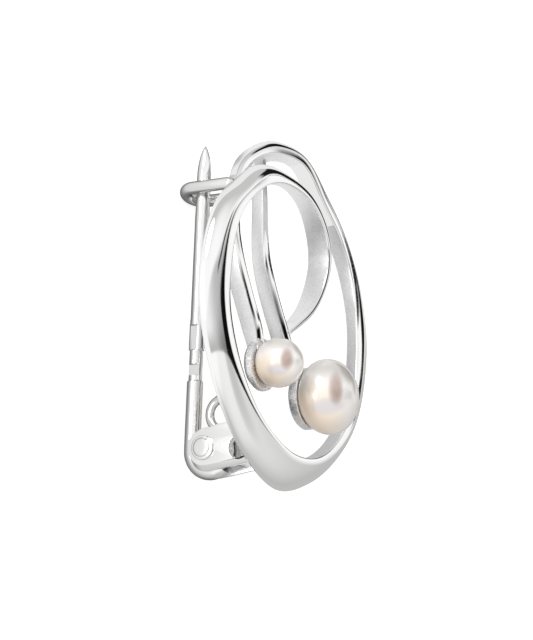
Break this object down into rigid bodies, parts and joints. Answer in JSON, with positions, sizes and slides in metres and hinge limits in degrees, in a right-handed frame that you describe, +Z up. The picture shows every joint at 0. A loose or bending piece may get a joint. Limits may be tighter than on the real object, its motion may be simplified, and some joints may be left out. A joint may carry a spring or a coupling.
{
  "type": "pearl brooch",
  "caption": "Round brooch of swirled silver ribbon whose two stems end in cupped pearls, with a hinged pin and a wire catch on its back.",
  "frame": {"origin": "on the table below the middle of the bounding box of the brooch lying on its back, pin closed", "axes": "+Y up the face towards the catch, +Z up from the table, +X to the right of the face; the face itself leans about 18 degrees towards +X, because the brooch rests on its pin and on the right edge of its ring"},
  "size_m": [0.0256, 0.0294, 0.01],
  "materials": {
    "polished_silver": "mirror-polished silver with satin inner walls",
    "pin_silver": "polished silver wire",
    "pearl": "cream pearl lustre with a rosy overtone"
  },
  "bodies": {
    "brooch": {"ribbon_frame": "polished_silver", "small_pearl": "pearl", "large_pearl": "pearl", "rivet": "pin_silver"},
    "pin": {"pin_stem": "pin_silver"}
  },
  "joints": [
    {"name": "pin_swing", "type": "hinge", "parent": "brooch", "child": "pin", "pos_m": [-0.00583, -0.01162, 0.00238], "axis": [-0.9517, -0.0055, 0.3069], "range_deg": [-4, 90], "deforming": ["pin_stem"]}
  ]
}
